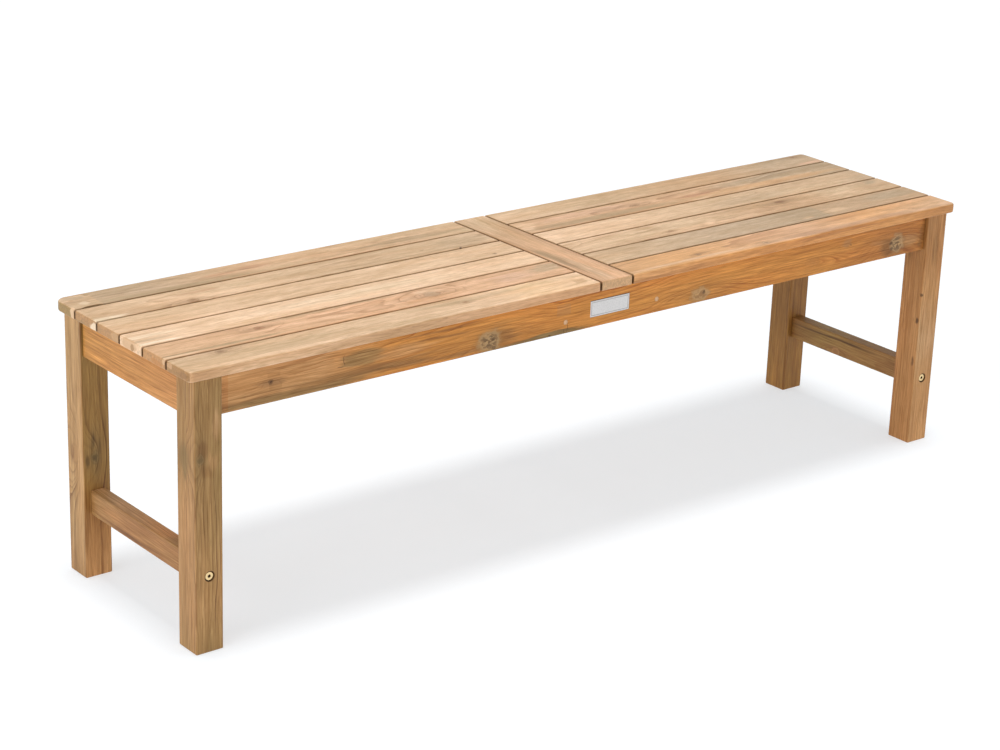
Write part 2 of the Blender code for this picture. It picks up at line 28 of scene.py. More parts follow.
# The studio: a glowing white floor, an even sky, a wide sun overhead and a softbox on the left.
FLOOR_SIZE = 60.0
FLOOR_HEIGHT = -0.0002
FLOOR_COLOUR = (0.49, 0.5, 0.51, 1.0)
FLOOR_ROUGHNESS = 0.9
FLOOR_GLOW_COLOUR = (0.914, 0.96, 1.0, 1.0)
FLOOR_GLOW = 0.558
SKY_EDGE = (0.25, 0.55)
SKY_STRENGTH = (1.0, 0.45)
SUN_STRENGTH = 1.6
SUN_ANGLE = math.radians(14)
SOFTBOX_PLACE = (-3.6, -0.8, 1.5)
SOFTBOX_TARGET = (0.0, 0.0, 0.3)
SOFTBOX_SIZE = (2.4, 1.6)
SOFTBOX_WATTS = 25.0

# Colours of teak, from the palest sapwood to the darkest knot.
WHITE = "#f4dcbc"
CREAM = "#ecc69f"
PALE = "#deb991"
PINK = "#d9ae8c"
PEACH = "#d9ad82"
SAND = "#d2af87"
ORANGE = "#d6a572"
OCHRE = "#c89f72"
GREIGE = "#c4a683"
STONE = "#b89c79"
MOSS = "#ab8e66"
ROSE = "#c48c64"
HONEY = "#c3823d"
AMBER = "#b97632"
TAWNY = "#b88854"
CLAY = "#b98752"
BRONZE = "#b08a58"
FAWN = "#af814f"
DRIFT = "#a07a4a"
LOAM = "#8e683a"
KHAKI = "#96784c"
BROWN = "#a07440"
OLIVE = "#8c7448"
UMBER = "#8a5f35"
BARK = "#4c3018"
PITCH = "#4a3a1c"
# Dark brown of the painted shade in the gaps between slats and round the bolts' heads.
SHADE_BROWN = "#5c3f1e"
TANGERINE = "#e2aa6f"
BLUSH = "#e3b48a"
BUTTER = "#f6cfa2"
DUNE = "#cfa67c"
WHEAT = "#bb9f72"
TOFFEE = "#c69762"
APRICOT = "#dc9f5b"
COPPER = "#c99155"
GOLD = "#cf8f41"
MUSTARD = "#c69049"
SADDLE = "#b68d5c"
HAZEL = "#a1804f"
PECAN = "#997a43"
STRAW = "#c29c6b"
CHESTNUT = "#9c7236"
SEPIA = "#875f2d"

# Tints that late wood multiplies the wood's colour by, and the painted shade that every upright face is
# multiplied by.
LATE_WOOD = "#ccbaa2"
GOLDEN_LATE_WOOD = "#cfb48f"
DARK_LATE_WOOD = "#a68f6c"
UPRIGHT_SHADE = "#f8efe6"

WARM_BAND = (1.03, 0.955, 0.87)
COOL_BAND = (0.91, 0.95, 0.93)

# How far a darker streak of wood darkens each of red, green and blue.
DEEPENING = (0.8, 1.0, 1.45)

# How dark a growth ring is, from 0 to 1, at places through it from its early wood to its late wood.
RING_DARKNESS = [(0.0, 0.2), (0.1, 0.0), (0.45, 0.15), (0.75, 0.5), (0.93, 1.0), (1.0, 0.2)]

# How strongly the layers of light and dark show, and the pores.
STREAK_DEPTH = 0.56
CLOUD_DEPTH = 0.38
MOTTLE_DEPTH = 0.26
GRAIN_DEPTH = 0.62
FIBRE_DEPTH = 0.85
PORE_DEPTH = 0.34
PORE_SHADE = 0.3

# The frame's boards have stronger, longer fibres than the slats, and less gloss.
FRAME_FIBRE = 1.6
FRAME_BREVITY = 0.45
FRAME_GLOSS = 0.3
PLAIN_GLOSS = 0.5

STAIN_DEPTH = 1.2
SMALL_KNOT = 0.008
END_GRAIN_SHARE = 0.88
EDGE_WEAR = 0.2
BUMP_STRENGTH = 0.4
BUMP_DISTANCE = 0.0004

AXES = "xyz"
ROWS = ("front", "rear")
ENDS = ("left", "right")
SEED_STEP = (7.31, 3.17, 5.77)
BOARD_SEED = 1.7

# Sizes of the bench that the painted shade in gaps and holes and the plate's border follow.
SEAT_HALF_WIDTH = 0.196
SEAT_HEIGHT = 0.452
SLAT_RIM = 0.005
GAP_SHADE = (0.9, 0.15)
COUNTERBORE_EDGE = (0.0085, 0.0091)
SOCKET_EDGE = (0.0031, 0.0033)
SOCKET_DEPTH = (0.0008, 0.0003)
PLATE_BORDER_INSET = 0.0026
PLATE_BORDER_WIDTH = 0.0011
PLATE_BORDER_GREY = "#6f6a66"


def linear(colour):
    """A colour given as #rrggbb, as the linear red, green, blue and alpha that a shader takes."""
    channels = [int(colour[i : i + 2], 16) / 255 for i in (1, 3, 5)]
    toe, slope, offset, power = 0.04045, 12.92, 0.055, 2.4
    values = [c / slope if c <= toe else ((c + offset) / (1 + offset)) ** power for c in channels]
    return (*values, 1.0)


class Graph:
    """Adds nodes to one tree. An input takes a number, a vector, a colour or another node's output."""

    def __init__(self, tree):
        self.tree = tree

    def feed(self, socket, value):
        if isinstance(value, bpy.types.NodeSocket):
            self.tree.links.new(value, socket)
        elif isinstance(value, str):
            socket.default_value = linear(value)
        else:
            socket.default_value = value

    def node(self, kind, inputs=None, **settings):
        made = self.tree.nodes.new("ShaderNode" + kind)
        for name, value in settings.items():
            setattr(made, name, value)
        for key, value in (inputs or {}).items():
            self.feed(made.inputs[key], value)
        return made

    def math(self, operation, *values):
        return self.node("Math", dict(enumerate(values)), operation=operation).outputs[0]

    def vector(self, operation, *values):
        made = self.node("VectorMath", dict(enumerate(values)), operation=operation)
        return made.outputs["Value" if operation in ("LENGTH", "DOT_PRODUCT") else "Vector"]

    def scale(self, vector, factor):
        made = self.node("VectorMath", {0: vector, "Scale": factor}, operation="SCALE")
        return made.outputs["Vector"]

    def split(self, vector):
        return self.node("SeparateXYZ", {0: vector}).outputs

    def join(self, x, y, z):
        return self.node("CombineXYZ", {0: x, 1: y, 2: z}).outputs[0]

    def noise(self, vector, detail=2.0, roughness=0.5):
        inputs = {"Vector": vector, "Scale": 1.0, "Detail": detail, "Roughness": roughness}
        return self.node("TexNoise", inputs).outputs[0]

    def noise_line(self, value):
        inputs = {"W": value, "Scale": 1.0, "Detail": 2.0}
        return self.node("TexNoise", inputs, noise_dimensions="1D").outputs[0]

    def step(self, value, low, high, start=0.0, end=1.0):
        """A smooth step from start at low to end at high."""
        inputs = {"Value": value, "From Min": low, "From Max": high, "To Min": start, "To Max": end}
        return self.node("MapRange", inputs, interpolation_type="SMOOTHSTEP").outputs[0]

    def between(self, factor, low, high):
        """The number that lies that share of the way from low to high."""
        inputs = {"Value": factor, "To Min": low, "To Max": high}
        return self.node("MapRange", inputs, clamp=False).outputs[0]

    def mix(self, factor, first, second, blend="MIX"):
        made = self.node("Mix", data_type="RGBA", blend_type=blend, clamp_factor=True)
        for index, value in zip((0, 6, 7), (factor, first, second)):
            self.feed(made.inputs[index], value)
        return made.outputs[2]

    def ramp(self, factor, stops):
        """A colour ramp. Its stops are (position, colour)."""
        made = self.node("ValToRGB", {0: factor})
        elements = made.color_ramp.elements
        while len(elements) < len(stops):
            elements.new(1.0)
        for element, (position, colour) in zip(elements, stops):
            element.position = position
            element.color = linear(colour)
        return made.outputs[0]

    def curve(self, value, points):
        """A number mapped through (input, output) points."""
        made = self.node("FloatCurve", {"Value": value})
        line = made.mapping.curves[0].points
        while len(line) < len(points):
            line.new(0.5, 0.5)
        for point, place in zip(line, points):
            point.location = place
        made.mapping.update()
        return made.outputs[0]


def new_group(name, inputs, outputs):
    """A node group with those sockets, given as {name: kind}. Returns its tree, inputs and end node."""
    tree = bpy.data.node_groups.new(name, "ShaderNodeTree")
    for direction, sockets in (("INPUT", inputs), ("OUTPUT", outputs)):
        for socket, kind in sockets.items():
            tree.interface.new_socket(socket, in_out=direction, socket_type="NodeSocket" + kind)
    start = tree.nodes.new("NodeGroupInput")
    end = tree.nodes.new("NodeGroupOutput")
    return tree, start.outputs, end.inputs


class Teak(Graph):
    """Adds the parts of a teak board's figure to one tree, steered by that tree's inputs.

    A place is in board space: along the grain, across the board and through it, in metres.
    """

    def __init__(self, tree, given):
        super().__init__(tree)
        self.given = given
        self.shift = self.scale(SEED_STEP, given["Seed"])

    def seeded(self, place, stretch):
        """The place, stretched along, across and through, in this board's own part of the noise."""
        return self.vector("ADD", self.vector("MULTIPLY", place, stretch), self.shift)

    def swerved(self, place):
        """The place on grain that is never straight, but swerves a few millimetres across the board."""
        noise = self.node("TexNoise", {"Vector": self.seeded(place, (5, 24, 24)), "Scale": 1.0}).outputs[1]
        centred = self.vector("SUBTRACT", noise, (0.5,) * 3)
        return self.vector("ADD", place, self.vector("MULTIPLY", centred, (0.03, 0.010, 0.010)))

    def rings(self, place):
        """Growth rings round a pith that leans and wanders along the board.

        Returns how far through its ring the place is, from 0 to 1, and how dark its late wood is.
        """
        given = self.given
        along = self.split(place)[0]
        pith = self.vector("ADD", given["Pith"], self.scale(given["Lean"], along))
        flat = self.vector("MULTIPLY", self.vector("SUBTRACT", place, pith), (0, 1, 1))
        wander = self.math("SUBTRACT", self.noise(self.seeded(place, (2.2, 12, 12))), 0.5)
        ripple = self.math("SUBTRACT", self.noise(self.seeded(place, (16, 90, 90)), detail=3), 0.5)
        radius = self.math("MULTIPLY_ADD", wander, given["Wander"], self.vector("LENGTH", flat))
        radius = self.math("MULTIPLY_ADD", ripple, 0.0035, radius)
        radius = self.math("ADD", radius, given["Push"])
        uneven = self.noise_line(self.math("MULTIPLY_ADD", radius, 55, given["Seed"]))
        phase = self.math("MULTIPLY_ADD", uneven, 3.2, self.math("DIVIDE", radius, given["Spacing"]))
        within = self.math("FRACT", phase)
        late = self.curve(within, RING_DARKNESS)
        number = self.math("ADD", self.math("FLOOR", phase), given["Seed"])
        each = self.node("TexWhiteNoise", {"W": number}, noise_dimensions="1D").outputs[0]
        fade = self.step(self.noise(self.seeded(place, (6, 35, 35))), 0.35, 0.65, 0.1, 1.0)
        line = self.math("MULTIPLY", late, self.math("MULTIPLY", self.between(each, 0.3, 1.0), fade))
        return within, line

    def shades(self, place):
        """Light and dark: streaks, clouds and mottling, then grain and fibres drawn out along the board.

        Returns what red, green and blue are multiplied by, and the grain and the fibres.
        """
        drawn = self.vector("MULTIPLY", place, self.join(self.given["Brevity"], 1.0, 1.0))
        streak = self.noise(self.seeded(drawn, (6, 85, 85)), detail=3, roughness=0.6)
        cloud = self.noise(self.seeded(drawn, (10, 32, 32)))
        mottle = self.noise(self.seeded(drawn, (55, 170, 170)))
        grain = self.noise(self.seeded(drawn, (20, 330, 330)), roughness=0.6)
        fibre = self.noise(self.seeded(drawn, (38, 850, 850)))
        layers = [(streak, STREAK_DEPTH), (cloud, CLOUD_DEPTH), (mottle, MOTTLE_DEPTH)]
        for layer, depth in ((grain, GRAIN_DEPTH), (fibre, FIBRE_DEPTH)):
            layers.append((layer, self.math("MULTIPLY", self.given["Fibre"], depth)))
        value = 1.0
        for layer, depth in layers:
            change = self.math("MULTIPLY_ADD", self.math("SUBTRACT", layer, 0.5), depth, 1.0)
            value = self.math("MULTIPLY", value, change)
        change = self.scale(DEEPENING, self.math("SUBTRACT", value, 1.0))
        return self.vector("ADD", change, (1.0,) * 3), grain, fibre

    def bands(self, place, colour):
        """The colour with bands of a warmer and a cooler hue, each from its own part of the noise."""
        for amount, tint in ((self.given["Warm"], WARM_BAND), (self.given["Cool"], COOL_BAND)):
            where = self.vector("ADD", self.seeded(place, (3.5, 34, 34)), (tint[0] * 9,) * 3)
            mask = self.math("MULTIPLY", self.step(self.noise(where), 0.45, 0.68), amount)
            colour = self.mix(mask, colour, self.vector("MULTIPLY", colour, tint))
        return colour

    def pores(self, place, within):
        """Short dark grooves, most of them in the early part of each ring."""
        dashes = self.noise(self.seeded(place, (70, 1100, 1100)), detail=1)
        early = self.step(within, 0.15, 0.6, 1.0, 0.45)
        return self.math("MULTIPLY", self.step(dashes, 0.58, 0.72), early)


def teak_group():
    """The node group that all boards share: from a place in the board to its colour and surface."""
    inputs = {
        "Place": "Vector",
        "Seed": "Float",
        "Pith": "Vector",
        "Lean": "Vector",
        "Spacing": "Float",
        "Wander": "Float",
        "Push": "Float",
        "Contrast": "Float",
        "Fibre": "Float",
        "Brevity": "Float",
        "Warm": "Float",
        "Cool": "Float",
        "Colour": "Color",
        "Line": "Color",
    }
    outputs = {"Colour": "Color", "Roughness": "Float", "Height": "Float"}
    tree, given, made = new_group("teak_figure", inputs, outputs)
    g = Teak(tree, given)
    place = g.swerved(given["Place"])
    within, line = g.rings(place)
    shade, grain, fibre = g.shades(place)
    pores = g.pores(place, within)

    colour = g.bands(place, g.vector("MULTIPLY", given["Colour"], shade))
    late_colour = g.mix(1.0, colour, given["Line"], "MULTIPLY")
    colour = g.mix(g.math("MULTIPLY", line, given["Contrast"]), colour, late_colour)
    colour = g.mix(g.math("MULTIPLY", pores, PORE_DEPTH), colour, g.scale(colour, PORE_SHADE))
    rough = g.math("MULTIPLY_ADD", fibre, 0.16, 0.44)
    rough = g.math("MULTIPLY_ADD", pores, 0.12, rough)
    rough = g.math("MULTIPLY_ADD", line, -0.06, rough)
    height = g.math("MULTIPLY_ADD", grain, 0.6, g.math("MULTIPLY", fibre, 0.5))
    height = g.math("MULTIPLY_ADD", pores, -1.0, height)
    height = g.math("MULTIPLY_ADD", line, 0.35, height)
    for name, value in {"Colour": colour, "Roughness": rough, "Height": height}.items():
        g.feed(made[name], value)
    return tree


class Board:
    """The material of one board. Marks are placed in the frame's own x, y and z, in metres.

    A mark's outline follows the place as it is (straight), as it swerves with the grain (bent) or
    with a rough edge (rough). The list after holds what is drawn over the grain, as (mask, colour).
    """

    def __init__(self, node, grain, across, seed):
        self.low, self.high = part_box(node)
        self.centre = (self.low + self.high) / 2
        self.material = bpy.data.materials.new("teak_" + node)
        self.material.use_nodes = True
        self.material.node_tree.nodes.clear()
        self.g = g = Graph(self.material.node_tree)
        self.order = [AXES.index(a) for a in (grain, across)]
        self.order.append(3 - sum(self.order))
        self.seed = seed
        world = g.node("TexCoord").outputs["Object"]
        parts = g.split(g.vector("SUBTRACT", world, tuple(self.centre)))
        self.place = g.join(*[parts[i] for i in self.order])
        self.straight = g.split(world)
        self.bent = g.split(g.vector("ADD", world, self.warp((7, 45, 45), (0.05, 0.012, 0.012))))
        self.rough = g.split(g.vector("ADD", world, self.warp((70, 110, 110), (0.008, 0.007, 0.007))))
        ragged = g.noise(self.seeded((16, 190, 190)), detail=3, roughness=0.6)
        self.ragged = g.math("SUBTRACT", ragged, 0.5)
        self.blotch = g.noise(self.seeded((110, 170, 170)), detail=3, roughness=0.6)
        self.facing = [g.math("ABSOLUTE", part) for part in g.split(g.node("NewGeometry").outputs["Normal"])]
        self.push = 0.0
        self.after = []

    def seeded(self, stretch):
        shift = tuple(self.seed * step for step in SEED_STEP)
        return self.g.vector("ADD", self.g.vector("MULTIPLY", self.place, stretch), shift)

    def warp(self, stretch, amount):
        """A smooth random shift, by up to about a quarter of amount along, across and through."""
        g = self.g
        noise = g.node("TexNoise", {"Vector": self.seeded(stretch), "Scale": 1.0}).outputs[1]
        size = [0.0] * 3
        for index, value in zip(self.order, amount):
            size[index] = value
        return g.vector("MULTIPLY", g.vector("SUBTRACT", noise, (0.5,) * 3), tuple(size))

    def distance(self, coordinates, extent):
        """Distance from a centre, where extent is {axis: (centre, half size)}: 1 at the half size."""
        g = self.g
        total = 0.0
        for axis, (middle, half) in extent.items():
            offset = g.math("DIVIDE", g.math("SUBTRACT", coordinates[AXES.index(axis)], middle), half)
            total = g.math("MULTIPLY_ADD", offset, offset, total)
        return g.math("SQRT", total)

    def along(self, stops):
        """A colour that changes along the board. Stops are (place along the grain, colour)."""
        grain = self.order[0]
        low, high = self.low[grain], self.high[grain]
        share = self.g.node("MapRange", {"Value": self.bent[grain], "From Min": low, "From Max": high})
        places = [((place - low) / (high - low), colour) for place, colour in stops]
        return self.g.ramp(share.outputs[0], places)

    def side(self, stops, axis):
        """Another tone on the faces that look along that axis: partly where the saw met other rings, partly
        painted shade and light on those faces.
        """
        mask = self.g.step(self.facing[AXES.index(axis)], 0.4, 0.85)
        self.colour = self.g.mix(mask, self.colour, self.along(stops))

    def stain(self, colour, strength=0.6, soft=0.5, **extent):
        """An oval stain, ragged along the grain. Two at the front apron's right end are painted shade."""
        far = self.g.math("MULTIPLY_ADD", self.ragged, 1.3, self.distance(self.bent, extent))
        mask = self.g.step(far, 1.0 - soft, 1.0 + soft, min(1.0, STAIN_DEPTH * strength), 0.0)
        self.colour = self.g.mix(mask, self.colour, colour)

    def patch(self, colour, strength=0.8, **extent):
        """A block of colour with straight sides. Most are glued-in patches; one on the front apron is a
        painted shadow line above the nameplate.
        """
        g = self.g
        sides = []
        for axis, (middle, half) in extent.items():
            offset = g.math("SUBTRACT", self.straight[AXES.index(axis)], middle)
            sides.append(g.math("SUBTRACT", g.math("ABSOLUTE", offset), half))
        outside = g.math("MAXIMUM", *sides)
        mask = g.step(outside, -0.0006, 0.0006, strength, 0.0)
        self.colour = g.mix(mask, self.colour, colour)

    def knot(
        self, colour, radius, core=UMBER, crack=UMBER, strength=0.8, push=2.5, stretch=1.3, dark=0.7,
        **centre,
    ):
        """A knot that runs through the board, with the rings bent round it and a flame of darker wood."""
        g = self.g
        grain = AXES[self.order[0]]

        def grown(along, across):
            """The knot's extent, times along in the direction of the grain and times across over it."""
            sizes = {axis: radius * (along if axis == grain else across) for axis in centre}
            return {axis: (centre[axis], sizes[axis]) for axis in centre}

        uneven = g.math("SUBTRACT", self.blotch, 0.5)
        far = g.math("MULTIPLY_ADD", uneven, 1.1, self.distance(self.rough, grown(stretch, 1.0)))
        near = self.distance(self.straight, grown(4.5 * stretch, 2.2))
        bump = g.math("EXPONENT", g.math("MULTIPLY", g.math("MULTIPLY", near, near), -1.0))
        self.push = g.math("MULTIPLY_ADD", bump, radius * push, self.push)
        flame = g.math("MULTIPLY_ADD", self.ragged, 2.0, self.distance(self.bent, grown(5.0 * stretch, 1.9)))
        self.colour = g.mix(g.step(flame, 0.2, 1.4, 0.5 * strength, 0.0), self.colour, core)
        rings = g.math("SINE", g.math("MULTIPLY", far, 13.0))
        shade = g.mix(g.step(rings, -0.3, 1.0, 0.0, 0.25), colour, core)
        self.after.append((g.step(far, 0.75, 1.25, strength, 0.0), shade))
        broken = g.step(self.blotch, 0.44, 0.56, 1.0, 0.0) if radius > SMALL_KNOT else 1.0
        rim = g.math("ABSOLUTE", g.math("SUBTRACT", far, 1.05))
        self.after.append((g.step(rim, 0.0, 0.35, 0.6 * strength, 0.0), core))
        self.after.append((g.math("MULTIPLY", g.step(far, 0.3, 1.0, dark, 0.0), broken), crack))

    def spot(self, colour, strength=0.8, **extent):
        """A small mark, drawn over the grain."""
        far = self.distance(self.rough, extent)
        self.after.append((self.g.step(far, 0.5, 1.2, strength, 0.0), colour))

    def wedge(self, colour, strength=0.85, **extent):
        """Sapwood or a stain on the end grain, drawn over it with crisp edges."""
        far = self.distance(self.rough, extent)
        self.after.append((self.g.step(far, 0.85, 1.1, strength, 0.0), colour))

    def shade_gap_walls(self):
        """Painted shade on the sides of a slat that face a gap, along the seat and beside the centre slat,
        darker further down.
        """
        g = self.g
        depth = g.math("ABSOLUTE", self.straight[1])
        reach = g.math("ABSOLUTE", self.straight[0])
        off_rim = g.step(depth, SEAT_HALF_WIDTH - SLAT_RIM, SEAT_HALF_WIDTH - 0.003, 1.0, 0.0)
        near_middle = g.step(reach, 0.05, 0.06, 1.0, 0.0)
        across = g.math("MULTIPLY", g.step(self.facing[1], 0.5, 0.8), off_rim)
        along = g.math("MULTIPLY", g.step(self.facing[0], 0.5, 0.8), near_middle)
        sunk = g.step(self.straight[2], SEAT_HEIGHT - SLAT_RIM, SEAT_HEIGHT - 0.0006, *GAP_SHADE)
        self.after.append((g.math("MULTIPLY", g.math("MAXIMUM", across, along), sunk), SHADE_BROWN))

    def shade_counterbore(self):
        """Painted shade on the wall of the hole round a bolt's head, in dark brown."""
        far = bolt_distance(self.g, self.straight)
        self.after.append((self.g.step(far, *COUNTERBORE_EDGE, 0.85, 0.0), SHADE_BROWN))

    def finish(self, group, rings, line, end, gloss):
        """Joins the wood, the painted shade on its upright faces, its end grain, the marks on it, its worn
        edges and the surface.
        """
        g = self.g
        wood = g.node("Group", node_tree=group)
        values = {"Place": self.place, "Seed": self.seed, "Push": self.push, "Colour": self.colour}
        for name, value in {**values, **rings, "Line": line}.items():
            g.feed(wood.inputs[name], value)
        colour = wood.outputs["Colour"]
        # Painted shade: every upright face is a little darker and warmer than the top, as if less light fell
        # on it.
        upright = g.step(self.facing[2], 0.3, 0.8, 1.0, 0.0)
        colour = g.mix(upright, colour, g.mix(1.0, colour, UPRIGHT_SHADE, "MULTIPLY"))
        pits = g.noise(self.seeded((300, 420, 420)))
        patchy = g.math("MULTIPLY", g.between(pits, 0.6, 1.4), g.between(self.blotch, 0.55, 1.45))
        end_grain = g.scale(linear(end)[:3], patchy)
        across_grain = g.step(self.facing[self.order[0]], 0.55, 0.9, 0.0, END_GRAIN_SHARE)
        colour = g.mix(across_grain, colour, end_grain)
        for mask, shade in self.after:
            colour = g.mix(mask, colour, shade)
        colour = g.mix(g.math("MULTIPLY", self.edge(), EDGE_WEAR), colour, UMBER)
        relief = {"Strength": BUMP_STRENGTH, "Distance": BUMP_DISTANCE, "Height": wood.outputs["Height"]}
        bump = g.node("Bump", relief)
        surface = g.node("BsdfPrincipled")
        g.feed(surface.inputs["Base Color"], colour)
        g.feed(surface.inputs["Roughness"], wood.outputs["Roughness"])
        g.feed(surface.inputs["Specular IOR Level"], gloss)
        g.feed(surface.inputs["Normal"], bump.outputs[0])
        out = g.node("OutputMaterial")
        g.feed(out.inputs[0], surface.outputs[0])
        return self.material

    def edge(self):
        """1 on the board's edges, 0 more than about 2 mm from them."""
        g = self.g
        half = tuple((self.high - self.low) / 2)
        offsets = [g.math("SUBTRACT", self.straight[i], self.centre[i]) for i in range(3)]
        depth = [g.math("SUBTRACT", half[i], g.math("ABSOLUTE", offsets[i])) for i in range(3)]
        nearer = g.math("MINIMUM", depth[0], depth[1])
        farther = g.math("MAXIMUM", depth[0], depth[1])
        second = g.math("MAXIMUM", nearer, g.math("MINIMUM", farther, depth[2]))
        return g.step(second, 0.0004, 0.0022, 1.0, 0.0)


def paint(node, material):
    """Gives a CAD node that material."""
    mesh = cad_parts[node].data
    mesh.materials.clear()
    mesh.materials.append(material)


PLAIN_FIGURE = {
    "Pith": (0.0, 0.0, -0.06),
    "Lean": (0.0, 0.0, 0.0),
    "Spacing": 0.005,
    "Wander": 0.014,
    "Contrast": 0.7,
    "Fibre": 1.0,
    "Brevity": 1.0,
    "Warm": 0.5,
    "Cool": 0.5,
}


def mark(kind):
    """A function that lists a mark of that kind, to be drawn by the method of Board that it names.

    It takes a colour, then (centre, half size) on each axis that bounds the mark, then options.
    """

    def listed(colour, **extent):
        return kind, colour, extent

    return listed


stain, patch, spot, wedge = [mark(kind) for kind in ("stain", "patch", "spot", "wedge")]


def knot(colour, radius, **centre):
    """Lists a knot, with its centre on the two axes across it."""
    return "knot", colour, {"radius": radius, **centre}


def side(stops, axis):
    return "side", stops, {"axis": axis}


def figure(pith=(0.0, -0.06), lean=(0.0, 0.0), **others):
    """How the rings lie. Pith and lean are across the board and through it."""
    return {"Pith": (0.0, *pith), "Lean": (0.0, *lean), **{k.capitalize(): v for k, v in others.items()}}


